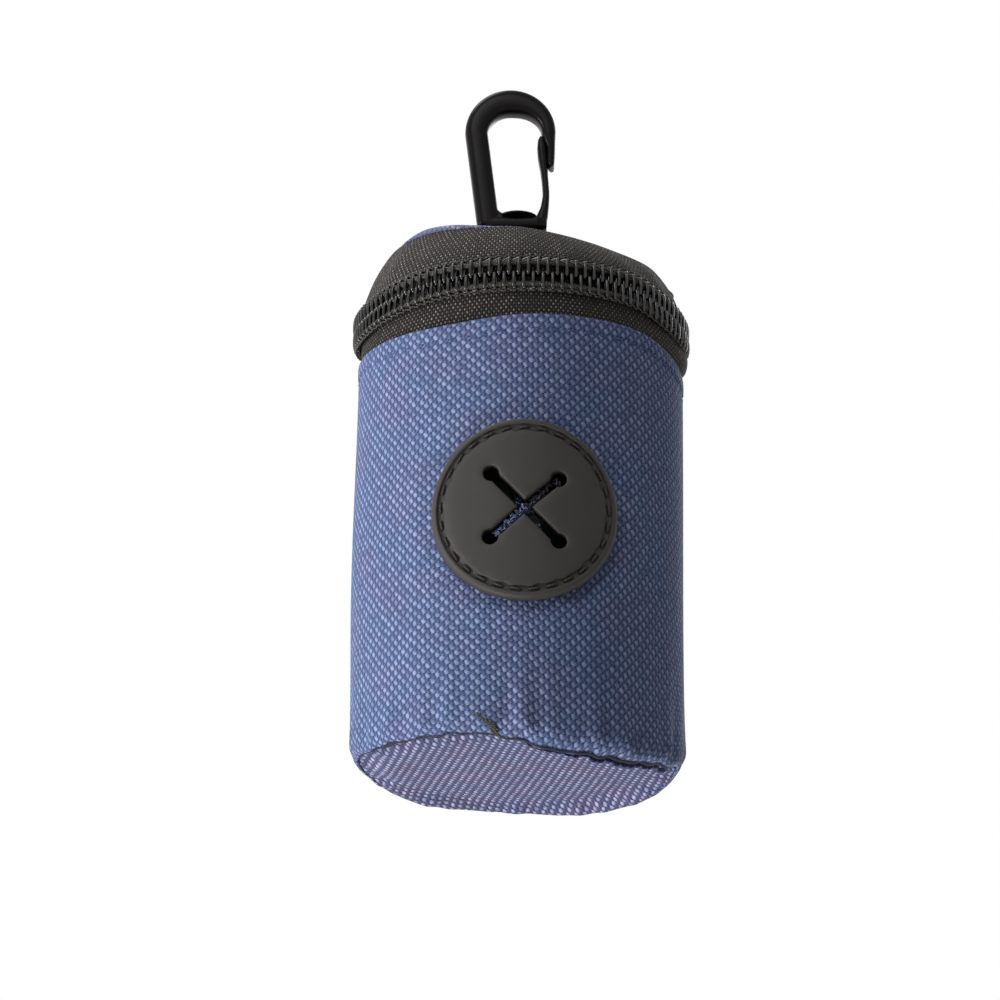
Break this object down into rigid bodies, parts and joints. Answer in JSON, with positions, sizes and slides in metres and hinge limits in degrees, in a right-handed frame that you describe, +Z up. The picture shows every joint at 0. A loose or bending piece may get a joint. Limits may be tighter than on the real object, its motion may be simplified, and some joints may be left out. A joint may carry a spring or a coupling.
{
  "type": "poop bag dispenser",
  "caption": "Cylindrical fabric pouch with a zipped lid, a slotted rubber outlet on the front and a black swivel snap hook on top; holds a roll of bags",
  "frame": {"origin": "centre of the flat bottom of the pouch", "axes": "+Z up along the pouch to the hook, front with the outlet towards -Y, +X to the right seen from the front"},
  "size_m": [0.0564, 0.0595, 0.1178],
  "materials": {
    "blue_oxford": "woven polyester oxford, dusty navy",
    "grey_lining": "thin plain woven lining",
    "black_binding": "woven binding tape",
    "navy_thread": "sewing thread",
    "black_thread": "sewing thread",
    "black_rubber": "smooth moulded rubber, satin",
    "zip_tape": "ribbed woven zip tape",
    "zip_coil": "nylon coil, slightly glossy",
    "black_webbing": "woven webbing",
    "black_zip_metal": "black enamelled zinc",
    "black_acetal": "moulded acetal, satin",
    "core_board": "wound cardboard tube, plain",
    "bag_film": "thin polyethylene film on a roll"
  },
  "bodies": {
    "pouch": {"wall_panel": "blue_oxford", "wall_lining": "grey_lining", "seam_binding": "black_binding", "bottom_panel": "blue_oxford", "bottom_binding": "black_binding", "hem_stitches": "navy_thread", "outlet_disc": "black_rubber", "outlet_stitches": "black_thread", "lower_zip_tape": "zip_tape", "lower_zip_coil": "zip_coil", "zip_stops": "zip_coil", "hinge_tape": "black_binding"},
    "lid": {"upper_zip_tape": "zip_tape", "upper_zip_coil": "zip_coil", "lid_back_panel": "blue_oxford", "lid_top": "blue_oxford", "lid_lining": "grey_lining", "lid_binding": "black_binding", "strap_loop": "black_webbing", "strap_stitches": "black_thread"},
    "slider": {"zip_slider": "black_zip_metal"},
    "pull": {"zip_pull": "black_zip_metal"},
    "eye": {"swivel_eye": "black_acetal"},
    "hook": {"hook_frame": "black_acetal"},
    "gate": {"hook_gate": "black_acetal"},
    "roll": {"roll_core": "core_board", "bag_roll": "bag_film"}
  },
  "joints": [
    {"name": "lid_hinge", "type": "hinge", "parent": "pouch", "child": "lid", "pos_m": [0, 0.0279, 0.07625], "axis": [-1, 0, 0], "range_deg": [0, 110], "deforming": ["hinge_tape"]},
    {"name": "slider_travel", "type": "hinge", "parent": "pouch", "child": "slider", "pos_m": [0, 0, 0.07625], "axis": [0, 0, -1], "range_deg": [0, 252]},
    {"name": "pull_flip", "type": "hinge", "parent": "slider", "child": "pull", "pos_m": [0.02468, 0.01826, 0.07625], "axis": [0, 0, -1], "range_deg": [0, 170]},
    {"name": "eye_swing", "type": "hinge", "parent": "lid", "child": "eye", "pos_m": [0, 0, 0.0889], "axis": [1, 0, 0], "range_deg": [-35, 35]},
    {"name": "hook_swivel", "type": "hinge", "parent": "eye", "child": "hook", "pos_m": [0, 0, 0.0945], "axis": [0, 0, 1], "continuous": true},
    {"name": "gate_flex", "type": "hinge", "parent": "hook", "child": "gate", "pos_m": [0.0044, 0, 0.09645], "axis": [0, -1, 0], "range_deg": [0, 22], "stiffness_Nm_per_rad": 0.1},
    {"name": "roll_spin", "type": "hinge", "parent": "pouch", "child": "roll", "pos_m": [0, 0, 0.03], "axis": [0, 0, 1], "continuous": true}
  ]
}
